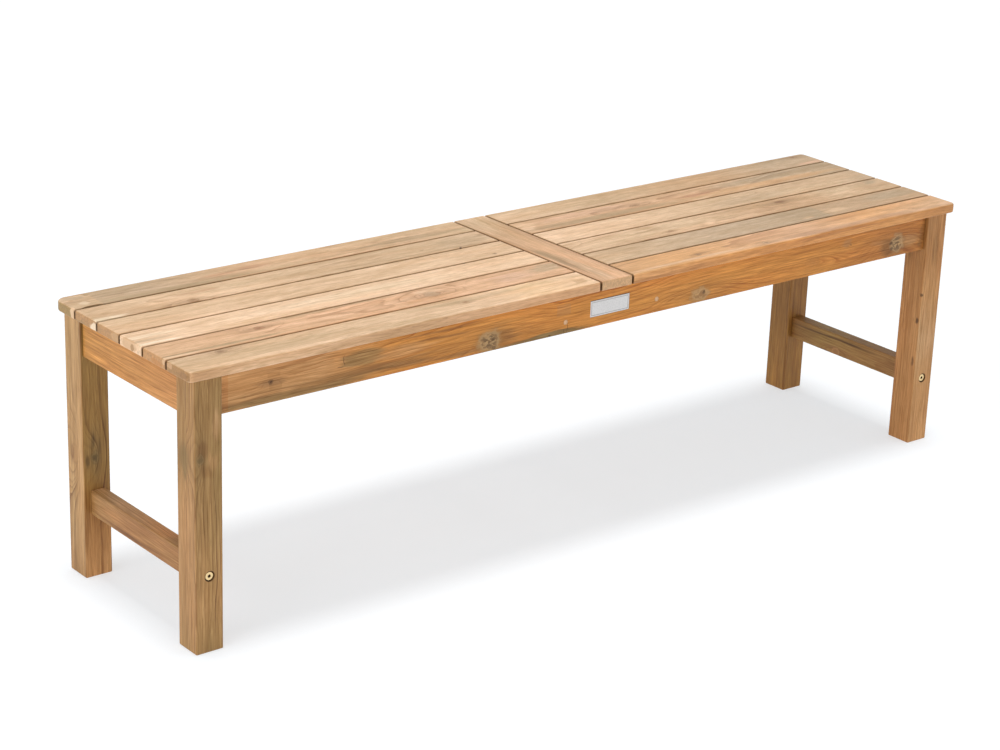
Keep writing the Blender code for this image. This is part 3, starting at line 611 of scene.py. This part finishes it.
BOARDS = {
    "slat_left_1": {
        "tone": [(-0.8, GREIGE), (-0.66, GREIGE), (-0.5, DUNE), (-0.35, PEACH), (-0.04, PALE)],
        "figure": figure(pith=(0.02, -0.05), lean=(0.0, 0.02), cool=0.9),
        "end": PECAN,
        "marks": [
            stain(MOSS, x=(-0.62, 0.13), y=(0.141, 0.008), strength=0.5),
            stain(MOSS, x=(-0.70, 0.05), y=(0.185, 0.012), strength=0.3),
            stain(ROSE, x=(-0.515, 0.03), y=(0.163, 0.006), strength=0.5),
            stain(ROSE, x=(-0.455, 0.03), y=(0.168, 0.008), strength=0.5),
            stain(PALE, x=(-0.40, 0.06), y=(0.150, 0.010), strength=0.5),
            stain(MOSS, x=(-0.16, 0.12), y=(0.156, 0.010)),
            patch(SAND, x=(-0.776, 0.0285), y=(0.165, 0.04), strength=0.75),
            spot(STONE, x=(-0.764, 0.006), y=(0.178, 0.006)),
            spot(TAWNY, x=(-0.785, 0.005), y=(0.172, 0.004), strength=0.5),
            spot(WHITE, x=(-0.772, 0.009), y=(0.152, 0.007), strength=0.5),
            spot(KHAKI, x=(-0.752, 0.004), y=(0.186, 0.006), strength=0.6),
            stain(STONE, x=(-0.775, 0.012), y=(0.182, 0.010)),
            wedge(CREAM, x=(-0.8, 0.006), y=(0.138, 0.007), z=(0.446, 0.011), strength=0.75),
            wedge(OLIVE, x=(-0.8, 0.004), y=(0.185, 0.009), z=(0.441, 0.004), strength=0.4),
        ],
    },
    "slat_left_2": {
        "tone": [(-0.8, SAND), (-0.62, PALE), (-0.35, SAND), (-0.12, SAND), (-0.04, PALE)],
        "figure": figure(pith=(0.0, -0.045), lean=(0.0, 0.03), contrast=0.76, wander=0.02),
        "end": FAWN,
        "marks": [
            wedge(WHITE, x=(-0.8, 0.006), y=(0.070, 0.016), z=(0.437, 0.012)),
            wedge(KHAKI, x=(-0.8, 0.004), y=(0.110, 0.018), z=(0.436, 0.005), strength=0.5),
            stain(WHITE, x=(-0.79, 0.045), y=(0.070, 0.006), strength=0.95, soft=0.3),
            stain(CREAM, x=(-0.655, 0.045), y=(0.097, 0.018)),
            stain(CREAM, x=(-0.55, 0.11), y=(0.078, 0.014), strength=0.5),
            stain(ROSE, x=(-0.60, 0.035), y=(0.105, 0.006), strength=0.4),
            knot(OCHRE, 0.006, x=-0.625, y=0.076, push=2.0),
            spot(UMBER, x=(-0.178, 0.006), y=(0.091, 0.002), strength=0.5),
            spot(BARK, x=(-0.115, 0.003), y=(0.068, 0.004)),
            stain(STONE, x=(-0.08, 0.06), y=(0.10, 0.03), strength=0.35),
        ],
    },
    "slat_left_3": {
        "tone": [(-0.8, PALE), (-0.04, PALE)],
        "figure": figure(pith=(0.03, -0.08), contrast=0.47, cool=0.25),
        "end": FAWN,
        "marks": [
            wedge(OCHRE, x=(-0.8, 0.004), y=(0.010, 0.014), z=(0.444, 0.007), strength=0.6),
            wedge(CLAY, x=(-0.8, 0.004), y=(0.045, 0.014), z=(0.438, 0.004), strength=0.5),
            knot(STONE, 0.003, x=-0.0875, y=0.0135, strength=0.5),
            stain(CREAM, x=(-0.12, 0.08), y=(0.012, 0.010), strength=0.5),
            stain(CREAM, x=(-0.65, 0.05), y=(0.006, 0.005)),
        ],
    },
    "slat_left_4": {
        "tone": [(-0.8, CREAM), (-0.04, CREAM)],
        "figure": figure(pith=(0.0, -0.05), lean=(0.0, 0.02), contrast=0.4, wander=0.02, cool=0.2),
        "end": CREAM,
        "marks": [
            wedge(DUNE, x=(-0.8, 0.005), y=(-0.030, 0.021), z=(0.445, 0.010), strength=0.8),
            wedge(BROWN, x=(-0.8, 0.004), y=(-0.038, 0.0045), z=(0.442, 0.006), strength=0.7),
            wedge(PALE, x=(-0.8, 0.004), y=(-0.050, 0.010), z=(0.449, 0.004), strength=0.5),
            stain(WHITE, x=(-0.40, 0.16), y=(-0.030, 0.014), strength=0.3),
            stain(WHITE, x=(-0.79, 0.05), y=(-0.058, 0.004), strength=0.9, soft=0.3),
            stain(WHITE, x=(-0.79, 0.07), y=(-0.028, 0.006), strength=0.5),
            stain(GREIGE, x=(-0.79, 0.05), y=(-0.045, 0.004)),
        ],
    },
    "slat_left_5": {
        "tone": [(-0.8, PEACH), (-0.6, BLUSH), (-0.04, BLUSH)],
        "figure": figure(pith=(0.0, -0.05), lean=(0.0, 0.03), contrast=1.2, wander=0.02, warm=0.8),
        "end": CLAY,
        "marks": [
            wedge(AMBER, x=(-0.8, 0.004), y=(-0.108, 0.016), z=(0.441, 0.005), strength=0.5),
            wedge(PALE, x=(-0.8, 0.006), y=(-0.126, 0.003), z=(0.449, 0.006), strength=0.6),
            knot(ROSE, 0.006, x=-0.6125, y=-0.087, push=3.0),
            knot(STONE, 0.010, x=-0.300, y=-0.099, strength=0.55, dark=0.2),
            stain(CREAM, x=(-0.29, 0.02), y=(-0.083, 0.010)),
            stain(MOSS, x=(-0.47, 0.12), y=(-0.070, 0.005), strength=0.5),
            stain(PINK, x=(-0.14, 0.04), y=(-0.10, 0.015), strength=0.7),
            stain(STONE, x=(-0.06, 0.030), y=(-0.088, 0.016)),
            stain(CREAM, x=(-0.79, 0.05), y=(-0.126, 0.004), strength=0.8, soft=0.3),
            stain(MOSS, x=(-0.70, 0.1), y=(-0.120, 0.003)),
        ],
    },
    "slat_left_6": {
        "tone": [(-0.8, SAND), (-0.3, PALE), (-0.22, CREAM), (-0.15, BUTTER), (-0.04, CREAM)],
        "figure": figure(pith=(0.0, -0.09), contrast=0.47),
        "end": BROWN,
        "marks": [
            side([(-0.8, DUNE), (-0.6, PALE), (-0.45, DUNE), (-0.04, PEACH)], "y"),
            wedge(UMBER, x=(-0.8, 0.004), y=(-0.180, 0.012), z=(0.443, 0.005), strength=0.4),
            wedge(PEACH, x=(-0.8, 0.004), y=(-0.142, 0.008), z=(0.447, 0.004), strength=0.5),
            knot(STONE, 0.006, x=-0.715, y=-0.144, strength=0.6),
            knot(OCHRE, 0.004, x=-0.2775, y=-0.159, strength=0.5),
            stain(MOSS, x=(-0.28, 0.11), y=(-0.150, 0.008), strength=0.35),
            stain(CREAM, x=(-0.66, 0.13), y=(-0.192, 0.005)),
            patch(OCHRE, x=(-0.060, 0.011), y=(-0.173, 0.0075), strength=0.55),
        ],
    },
    "slat_right_1": {
        "tone": [(0.04, PALE), (0.25, SAND), (0.52, OCHRE), (0.68, GREIGE), (0.8, GREIGE)],
        "figure": figure(pith=(0.04, -0.05), contrast=0.57, cool=0.4),
        "marks": [
            stain(STONE, x=(0.74, 0.05), y=(0.185, 0.012)),
            knot(STONE, 0.006, x=0.765, y=0.184, strength=0.6),
            stain(PINK, x=(0.77, 0.04), y=(0.143, 0.005), strength=0.7),
        ],
    },
    "slat_right_2": {
        "tone": [(0.04, DUNE), (0.15, PEACH), (0.45, PEACH), (0.6, SAND), (0.8, STONE)],
        "figure": figure(pith=(0.0, -0.05), lean=(0.0, 0.03), contrast=1.1, wander=0.02),
        "marks": [
            stain(MOSS, x=(0.21, 0.16), y=(0.081, 0.010)),
            stain(PINK, x=(0.19, 0.11), y=(0.112, 0.012)),
            stain(CREAM, x=(0.052, 0.018), y=(0.105, 0.030)),
            stain(CREAM, x=(0.43, 0.02), y=(0.073, 0.006), strength=0.8),
            stain(ORANGE, x=(0.6, 0.17), y=(0.083, 0.011), strength=0.7),
            stain(STONE, x=(0.67, 0.17), y=(0.112, 0.014), strength=0.8),
            stain(MOSS, x=(0.68, 0.06), y=(0.108, 0.007), strength=0.5),
            knot(OCHRE, 0.004, x=0.295, y=0.101, stretch=2.5),
            stain(ROSE, x=(0.43, 0.04), y=(0.094, 0.006)),
        ],
    },
    "slat_right_3": {
        "tone": [(0.04, CREAM), (0.3, PALE), (0.5, SAND), (0.7, SAND), (0.8, GREIGE)],
        "figure": figure(pith=(0.02, -0.07), lean=(0.0, 0.02), contrast=0.47, cool=0.3),
        "marks": [
            stain(CREAM, x=(0.12, 0.1), y=(0.045, 0.010)),
            stain(GREIGE, x=(0.50, 0.09), y=(0.025, 0.016), strength=0.5),
            knot(OCHRE, 0.002, x=0.537, y=0.046, strength=0.5),
        ],
    },
    "slat_right_4": {
        "tone": [(0.04, PALE), (0.3, PALE), (0.5, DUNE), (0.6, DUNE), (0.66, SAND), (0.8, SAND)],
        "figure": figure(pith=(0.0, -0.045), lean=(0.0, 0.03), contrast=1.2, wander=0.022),
        "marks": [
            stain(CREAM, x=(0.10, 0.09), y=(-0.008, 0.006), strength=0.9),
            stain(OCHRE, x=(0.215, 0.018), y=(-0.011, 0.006), strength=0.7),
            knot(ROSE, 0.003, x=0.2475, y=-0.049),
            stain(CREAM, x=(0.345, 0.012), y=(-0.044, 0.014), strength=0.7),
            stain(OCHRE, x=(0.52, 0.09), y=(-0.022, 0.010)),
            knot(UMBER, 0.005, x=0.5325, y=-0.019, stretch=2.0, push=4.0),
            stain(CREAM, x=(0.69, 0.05), y=(-0.036, 0.012), strength=0.35),
            stain(STONE, x=(0.765, 0.014), y=(-0.014, 0.010), strength=0.8),
        ],
    },
    "slat_right_5": {
        "tone": [(0.04, SAND), (0.3, GREIGE), (0.54, STONE), (0.8, STONE)],
        "figure": figure(pith=(0.05, -0.06), contrast=0.47, warm=0.6, cool=0.1),
        "marks": [
            patch(DUNE, x=(0.69, 0.135), y=(-0.099, 0.04), strength=0.5),
            stain(PALE, x=(0.575, 0.025), y=(-0.108, 0.012), strength=0.7),
            stain(PALE, x=(0.51, 0.012), y=(-0.118, 0.006)),
            stain(STONE, x=(0.74, 0.06), y=(-0.09, 0.02), strength=0.8),
        ],
    },
    "slat_right_6": {
        "tone": [(0.04, ORANGE), (0.15, TANGERINE), (0.45, BLUSH), (0.6, TANGERINE), (0.8, PEACH)],
        "figure": figure(pith=(0.0, -0.07), lean=(0.0, 0.02), contrast=0.76, warm=0.8, cool=0.25),
        "marks": [
            side([(0.04, TANGERINE), (0.25, APRICOT), (0.6, APRICOT), (0.8, COPPER)], "y"),
            knot(OCHRE, 0.004, x=0.1975, y=-0.1715),
            knot(CREAM, 0.005, x=0.34, y=-0.184, strength=0.6),
            stain(PINK, x=(0.55, 0.25), y=(-0.185, 0.007), strength=0.4),
            stain(CREAM, x=(0.17, 0.13), y=(-0.185, 0.004)),
            stain(AMBER, x=(0.55, 0.06), y=(-0.148, 0.006), strength=0.3),
        ],
    },
    "centre_slat": {
        "axes": "yx",
        "tone": [(-0.19, BLUSH), (-0.1, BLUSH), (0.0, PEACH), (0.1, DUNE), (0.16, SAND), (0.19, PALE)],
        "figure": figure(contrast=0.66, wander=0.01),
        "marks": [
            stain(MOSS, x=(-0.018, 0.011), y=(-0.06, 0.055), strength=0.7),
            stain(GREIGE, x=(-0.005, 0.008), y=(-0.13, 0.05), strength=0.5),
        ],
    },
    "apron_front": {
        "axes": "xz",
        "tone": [(-0.74, TOFFEE), (-0.56, TOFFEE), (-0.43, GOLD), (0.5, GOLD), (0.63, HONEY), (0.74, HONEY)],
        "figure": figure(pith=(0.04, 0.04), lean=(0.01, 0.01), contrast=1, wander=0.024, warm=0.7, cool=0.3),
        "marks": [
            stain(BROWN, x=(-0.48, 0.12), z=(0.387, 0.008), strength=0.8),
            stain(OLIVE, x=(-0.62, 0.15), z=(0.378, 0.006)),
            stain(OLIVE, x=(-0.487, 0.036), z=(0.408, 0.010), soft=0.3),
            stain(LOAM, x=(-0.55, 0.14), z=(0.3835, 0.0025), strength=0.5),
            stain(LOAM, x=(-0.61, 0.12), z=(0.3905, 0.0018), strength=0.4),
            patch(AMBER, x=(-0.731, 0.005), z=(0.405, 0.030), strength=0.35),
            spot(BARK, x=(-0.5222, 0.0008), z=(0.411, 0.009)),
            spot(BARK, x=(-0.529, 0.006), z=(0.402, 0.0008)),
            patch(BROWN, x=(-0.647, 0.011), z=(0.414, 0.004), strength=0.3),
            patch(BROWN, x=(-0.644, 0.011), z=(0.395, 0.004), strength=0.4),
            knot(UMBER, 0.0035, x=-0.653, z=0.404, core=BARK, crack=BARK, dark=0.9),
            stain(TOFFEE, x=(-0.41, 0.05), z=(0.404, 0.009)),
            stain(UMBER, x=(-0.345, 0.08), z=(0.4235, 0.0022), strength=0.5),
            stain(UMBER, x=(-0.330, 0.05), z=(0.4135, 0.0018), strength=0.45),
            stain(BROWN, x=(-0.315, 0.05), z=(0.3795, 0.0030)),
            stain(LOAM, x=(-0.238, 0.036), z=(0.389, 0.019), strength=0.5),
            knot(WHEAT, 0.017, x=-0.247, z=0.388, core=BROWN, crack=BARK, push=1.2, strength=0.6),
            spot(BARK, x=(-0.241, 0.003), z=(0.389, 0.002), strength=0.6),
            spot(BARK, x=(-0.238, 0.004), z=(0.376, 0.003), strength=0.6),
            stain(OLIVE, x=(-0.135, 0.085), z=(0.374, 0.004), strength=0.85, soft=0.3),
            spot(BARK, x=(-0.126, 0.003), z=(0.374, 0.0015)),
            patch(TAWNY, x=(-0.0968, 0.0142), z=(0.412, 0.009), strength=0.45),
            spot(BARK, x=(-0.0885, 0.0008), z=(0.381, 0.009), strength=0.7),
            spot(BARK, x=(-0.0960, 0.0008), z=(0.376, 0.004), strength=0.7),
            knot(WHEAT, 0.012, x=0.198, z=0.385, core=BROWN, push=1.6, stretch=1.6, strength=0.6),
            spot(BARK, x=(0.2065, 0.003), z=(0.388, 0.004), strength=0.7),
            knot(HONEY, 0.007, x=0.459, z=0.397, stretch=2.2, strength=0.2, dark=0.15),
            stain(TAWNY, x=(0.539, 0.012), z=(0.415, 0.008)),
            spot(UMBER, x=(0.552, 0.003), z=(0.413, 0.002), strength=0.7),
            # Painted shade: a darker band along the top edge under the seat, and a darker strip at the right
            # end beside the leg.
            stain(CHESTNUT, x=(0.660, 0.090), z=(0.433, 0.005), strength=0.5),
            stain(SEPIA, x=(0.738, 0.008), z=(0.410, 0.050), strength=0.5),
            stain(TOFFEE, x=(0.704, 0.022), z=(0.396, 0.010), strength=0.7),
            stain(COPPER, x=(0.630, 0.022), z=(0.402, 0.003)),
            stain(SEPIA, x=(0.652, 0.020), z=(0.392, 0.016)),
            knot(WHEAT, 0.017, x=0.6705, z=0.395, crack=BARK, push=1.6, stretch=1, strength=0.6),
            spot(BARK, x=(0.655, 0.005), z=(0.3965, 0.004), strength=0.75),
            spot(BARK, x=(0.657, 0.004), z=(0.386, 0.003), strength=0.6),
            # Painted shadow: a dark line along the top of the nameplate's pocket, where its upper edge would
            # shade it.
            patch(BARK, x=(0.0, 0.0416), z=(0.4160, 0.0008), strength=0.85),
        ],
    },
    "apron_rear": {
        "axes": "xz",
        "tone": [(-0.74, HONEY), (-0.2, HONEY), (0.3, CLAY), (0.74, HONEY)],
        "figure": figure(pith=(0.0, -0.05), lean=(0.0, 0.03), contrast=0.95, wander=0.022, warm=0.7),
        "marks": [
            knot(TAWNY, 0.011, x=0.31, z=0.402),
            knot(UMBER, 0.004, x=-0.42, z=0.389),
            stain(OLIVE, x=(0.52, 0.12), z=(0.378, 0.007)),
        ],
    },
    "apron_left": {
        "axes": "yz",
        "tone": [(-0.16, COPPER), (0.16, MUSTARD)],
        "figure": figure(pith=(0.10, 0.03), spacing=0.007, contrast=0.8, wander=0.012, warm=0.8, cool=0.0),
    },
    "apron_right": {
        "axes": "yz",
        "tone": [(-0.16, HONEY), (0.16, CLAY)],
        "figure": figure(pith=(0.05, 0.05), spacing=0.006, contrast=0.85, warm=0.6, cool=0.1),
    },
    "leg_front_left": {
        "axes": "zx",
        "tone": [(0.0, HAZEL), (0.08, BRONZE), (0.28, HAZEL), (0.435, HAZEL)],
        "figure": figure(pith=(0.10, 0.05), spacing=0.0065, contrast=1, wander=0.008, cool=0.8),
        "line": DARK_LATE_WOOD,
        "marks": [
            side([(0.0, BRONZE), (0.06, SADDLE), (0.22, SADDLE), (0.3, BRONZE)], "x"),
            stain(OCHRE, x=(-0.751, 0.006), z=(0.363, 0.022), strength=0.5),
            stain(LOAM, x=(-0.776, 0.009), z=(0.325, 0.012)),
            stain(LOAM, x=(-0.768, 0.010), z=(0.288, 0.010), strength=0.5),
            knot(KHAKI, 0.006, x=-0.7785, z=0.311, core=PITCH, crack=PITCH, strength=0.4, dark=0.5),
            stain(SADDLE, x=(-0.758, 0.008), z=(0.306, 0.012)),
            stain(OLIVE, y=(-0.160, 0.013), z=(0.308, 0.022)),
        ],
    },
    "leg_front_right": {
        "axes": "zx",
        "tone": [(0.0, TOFFEE), (0.12, TOFFEE), (0.2, OCHRE), (0.28, TOFFEE), (0.36, CLAY), (0.435, FAWN)],
        "figure": figure(pith=(0.05, 0.09), spacing=0.007, contrast=0.66, wander=0.012, warm=0.6),
        "marks": [
            side([(0.0, TAWNY), (0.25, TAWNY), (0.435, BROWN)], "x"),
            stain(LOAM, x=(0.766, 0.007), z=(0.368, 0.028), strength=0.45),
            spot(BARK, x=(0.7405, 0.003), y=(-0.187, 0.004), z=(0.2875, 0.0035)),
            spot(BARK, x=(0.7405, 0.004), y=(-0.183, 0.004), z=(0.2375, 0.007)),
            spot(BARK, x=(0.7405, 0.004), y=(-0.181, 0.003), z=(0.158, 0.010), strength=0.6),
        ],
    },
    "leg_rear_left": {
        "axes": "zx",
        "tone": [(0.0, TOFFEE), (0.10, BROWN), (0.17, PECAN), (0.435, PECAN)],
        "figure": figure(pith=(0.09, -0.06), spacing=0.006, contrast=1, wander=0.01, cool=0.6),
        "line": DARK_LATE_WOOD,
        "marks": [
            side([(0.0, SADDLE), (0.08, STRAW), (0.435, STRAW)], "x"),
            stain(OLIVE, x=(-0.766, 0.018), z=(0.215, 0.035), strength=0.3),
            knot(OLIVE, 0.007, x=-0.767, z=0.2025, core=PITCH, crack=PITCH, strength=0.4, dark=0.7),
            stain(PITCH, x=(-0.779, 0.003), z=(0.200, 0.012), strength=0.5),
            stain(PITCH, x=(-0.757, 0.002), z=(0.212, 0.014), strength=0.4),
            stain(PITCH, x=(-0.768, 0.002), z=(0.232, 0.012), strength=0.4),
            knot(TAWNY, 0.011, y=0.165, z=0.205, strength=0.3, dark=0.1),
        ],
    },
    "leg_rear_right": {
        "axes": "zx",
        "tone": [(0.0, CHESTNUT), (0.435, SEPIA)],
        "figure": figure(pith=(0.05, 0.08), spacing=0.007, contrast=0.76, wander=0.012),
    },
    "stretcher_left": {
        "axes": "yz",
        "tone": [(-0.16, FAWN), (0.02, FAWN), (0.16, BRONZE)],
        "figure": figure(pith=(0.0, 0.09), contrast=0.66, wander=0.012),
        "marks": [
            side([(-0.16, FAWN), (-0.06, COPPER), (0.0, TOFFEE), (0.1, OCHRE)], "z"),
            stain(PECAN, y=(0.11, 0.03), z=(0.148, 0.004), strength=0.15),
            stain(PECAN, y=(-0.115, 0.03), z=(0.148, 0.004), strength=0.4),
            stain(UMBER, y=(0.02, 0.10), z=(0.1155, 0.003), strength=0.7),
            stain(TAWNY, y=(0.07, 0.03), z=(0.13, 0.010)),
        ],
    },
    "stretcher_right": {
        "axes": "yz",
        "tone": [(-0.16, DRIFT), (0.06, PECAN), (0.16, SEPIA)],
        "figure": figure(pith=(0.0, 0.09), contrast=0.85, wander=0.016, cool=0.7),
        "marks": [
            stain(BARK, y=(0.04, 0.12), z=(0.138, 0.002)),
            knot(TAWNY, 0.008, y=0.02, z=0.113),
        ],
    },
}
for end in ENDS:
    BOARDS["cross_rail_" + end] = {"axes": "yz", "tone": [(-0.16, TAWNY), (0.16, CLAY)]}
    for row in ROWS:
        BOARDS[f"corner_brace_{row}_{end}"] = {"axes": "xz", "tone": [(-0.8, TAWNY), (0.8, TAWNY)]}
        BOARDS[f"rail_dowel_{row}_{end}"] = {
            "axes": "yx",
            "tone": [(-0.2, PEACH), (0.2, PEACH)],
            "figure": figure(pith=(0.0, 0.0), spacing=0.002, wander=0.002, cool=0.0),
            "end": PEACH,
        }


def make_boards():
    """Paints every wooden node."""
    group = teak_group()
    for seed, (node, spec) in enumerate(BOARDS.items(), start=1):
        grain, across = spec.get("axes", "xy")
        board = Board(node, grain, across, seed * BOARD_SEED)
        board.colour = board.along(spec["tone"])
        for kind, colour, extent in spec.get("marks", []):
            getattr(board, kind)(colour, **extent)
        if "slat" in node:
            board.shade_gap_walls()
        if node.startswith("leg"):
            board.shade_counterbore()
        rings = {**PLAIN_FIGURE, **spec.get("figure", {})}
        if "slat" not in node:
            rings["Fibre"] *= FRAME_FIBRE
            rings["Brevity"] = FRAME_BREVITY
        line = spec.get("line", LATE_WOOD if "slat" in node else GOLDEN_LATE_WOOD)
        oiled_frame = node.startswith(("apron", "leg", "stretcher"))
        gloss = FRAME_GLOSS if oiled_frame else PLAIN_GLOSS
        paint(node, board.finish(group, rings, line, spec.get("end", OCHRE), gloss))


def make_metal(name, colour, low, high, marks=(), metallic=1.0):
    """A bright metal with a fine grain and uneven polish, its roughness between low and high.

    Marks are functions of its graph and the place on it that give a mask and a colour.
    """
    material = bpy.data.materials.new(name)
    material.use_nodes = True
    material.node_tree.nodes.clear()
    g = Graph(material.node_tree)
    world = g.node("TexCoord").outputs["Object"]
    blotch = g.noise(g.scale(world, 420), detail=3)
    grain = g.noise(g.scale(world, 2600))
    shade = g.mix(g.step(blotch, 0.35, 0.7, 0.0, 0.35), colour, g.scale(linear(colour)[:3], 0.7))
    bright = metallic
    for draw in marks:
        # Each mark paints its colour over the metal: painted shade in the bolts' sockets, a printed border
        # on the plate.
        mask, overlay = draw(g, g.split(world))
        shade = g.mix(mask, shade, overlay)
        bright = g.math("MULTIPLY", bright, g.math("SUBTRACT", 1.0, mask))
    bump = g.node("Bump", {"Strength": 0.2, "Distance": 0.00005, "Height": grain})
    surface = g.node("BsdfPrincipled")
    g.feed(surface.inputs["Base Color"], shade)
    g.feed(surface.inputs["Metallic"], bright)
    g.feed(surface.inputs["Roughness"], g.between(blotch, low, high))
    g.feed(surface.inputs["Normal"], bump.outputs[0])
    out = g.node("OutputMaterial")
    g.feed(out.inputs[0], surface.outputs[0])
    return material


def bolt_distance(g, place):
    """Distance from the axis of the nearest stretcher bolt. The four bolts mirror one another."""
    low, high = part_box("stretcher_bolt_front_right")
    x, height = (low.x + high.x) / 2, (low.z + high.z) / 2
    sideways = g.math("SUBTRACT", g.math("ABSOLUTE", place[0]), x)
    return g.vector("LENGTH", g.join(sideways, g.math("SUBTRACT", place[2], height), 0.0))


def socket_shade(g, place):
    """Painted shade in the bolts' sockets, behind the face of the head, dark brown and not metallic."""
    face = -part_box("stretcher_bolt_front_right")[0].y
    deep, shallow = SOCKET_DEPTH
    behind = g.step(g.math("ABSOLUTE", place[1]), face - deep, face - shallow, 1.0, 0.0)
    inside = g.step(bolt_distance(g, place), *SOCKET_EDGE, 1.0, 0.0)
    return g.math("MULTIPLY", behind, inside), BARK


def plate_border(g, place):
    """A fine dark line round the nameplate, just inside its edge."""
    low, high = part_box("nameplate")
    centre, half = (low + high) / 2, (high - low) / 2
    along = g.math("SUBTRACT", half.x, g.math("ABSOLUTE", g.math("SUBTRACT", place[0], centre.x)))
    up = g.math("SUBTRACT", half.z, g.math("ABSOLUTE", g.math("SUBTRACT", place[2], centre.z)))
    inset = g.math("ABSOLUTE", g.math("SUBTRACT", g.math("MINIMUM", along, up), PLATE_BORDER_INSET))
    return g.step(inset, PLATE_BORDER_WIDTH / 4, PLATE_BORDER_WIDTH / 2, 0.75, 0.0), PLATE_BORDER_GREY


def make_metals():
    brass = make_metal("brass", "#f2d5a0", 0.3, 0.5, marks=[socket_shade])
    zinc = make_metal("zinc", "#c4c6c9", 0.3, 0.5)
    aluminium = make_metal("aluminium", "#d8d5d3", 0.4, 0.55, marks=[plate_border], metallic=0.8)
    for row in ROWS:
        for end in ENDS:
            paint(f"stretcher_bolt_{row}_{end}", brass)
            for kind in ("barrel_nut", "hanger_bolt", "washer", "hanger_nut"):
                paint(f"{kind}_{row}_{end}", zinc)
    paint("nameplate", aluminium)


def make_floor():
    """A white floor that glows a little, like a light table, so that shadows on it stay pale."""
    bpy.ops.mesh.primitive_plane_add(size=FLOOR_SIZE, location=(0.0, 0.0, FLOOR_HEIGHT))
    floor = bpy.context.object
    floor.name = "floor"
    material = bpy.data.materials.new("floor_white")
    material.use_nodes = True
    surface = material.node_tree.nodes["Principled BSDF"]
    surface.inputs["Base Color"].default_value = FLOOR_COLOUR
    surface.inputs["Roughness"].default_value = FLOOR_ROUGHNESS
    surface.inputs["Specular IOR Level"].default_value = 0.0
    surface.inputs["Emission Color"].default_value = FLOOR_GLOW_COLOUR
    surface.inputs["Emission Strength"].default_value = FLOOR_GLOW
    floor.data.materials.append(material)


def make_sky():
    """White all round, and dimmer overhead."""
    world = bpy.data.worlds.new("studio")
    bpy.context.scene.world = world
    world.use_nodes = True
    tree = world.node_tree
    tree.nodes.clear()
    g = Graph(tree)
    height = g.split(g.node("TexCoord").outputs["Generated"])[2]
    strength = g.step(height, *SKY_EDGE, *SKY_STRENGTH)
    background = g.node("Background", {"Color": (1.0, 1.0, 1.0, 1.0), "Strength": strength})
    out = g.node("OutputWorld")
    g.feed(out.inputs[0], background.outputs[0])


def make_overhead_sun():
    """A wide sun straight above. A sun shines down its own -Z, so it needs no turning."""
    light = bpy.data.lights.new("overhead", "SUN")
    light.energy = SUN_STRENGTH
    light.angle = SUN_ANGLE
    lamp = bpy.data.objects.new("overhead", light)
    bpy.context.scene.collection.objects.link(lamp)


def make_softbox():
    """A large soft lamp on the left, turned towards the bench."""
    light = bpy.data.lights.new("left_softbox", "AREA")
    light.shape = "RECTANGLE"
    light.size, light.size_y = SOFTBOX_SIZE
    light.energy = SOFTBOX_WATTS
    lamp = bpy.data.objects.new("left_softbox", light)
    lamp.location = SOFTBOX_PLACE
    towards_bench = Vector(SOFTBOX_TARGET) - Vector(SOFTBOX_PLACE)
    lamp.rotation_euler = towards_bench.to_track_quat("-Z", "Y").to_euler()
    bpy.context.scene.collection.objects.link(lamp)


def make_camera():
    """The camera, turned to its yaw, then tipped down, then rolled."""
    camera = bpy.data.cameras.new("camera")
    camera.sensor_width = SENSOR_MM
    camera.lens = CAMERA_LENS_MM
    camera.clip_end = 100.0
    holder = bpy.data.objects.new("camera", camera)
    holder.location = CAMERA_PLACE
    turn = Euler((0.0, 0.0, -CAMERA_YAW)).to_matrix()
    tip = Euler((math.pi / 2 - CAMERA_PITCH, 0.0, 0.0)).to_matrix()
    roll = Euler((0.0, 0.0, CAMERA_ROLL)).to_matrix()
    holder.rotation_euler = (turn @ tip @ roll).to_euler()
    bpy.context.scene.collection.objects.link(holder)
    bpy.context.scene.camera = holder
    bpy.context.scene.view_settings.view_transform = "Standard"


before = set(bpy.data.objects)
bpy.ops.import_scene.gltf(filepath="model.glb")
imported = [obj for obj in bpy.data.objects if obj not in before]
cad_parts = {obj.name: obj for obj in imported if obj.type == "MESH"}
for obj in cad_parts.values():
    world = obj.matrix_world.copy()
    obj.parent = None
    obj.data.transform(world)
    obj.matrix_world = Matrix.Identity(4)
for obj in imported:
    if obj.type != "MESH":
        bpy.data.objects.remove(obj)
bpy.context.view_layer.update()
make_boards()
make_metals()
make_floor()
make_sky()
make_overhead_sun()
make_softbox()
make_camera()
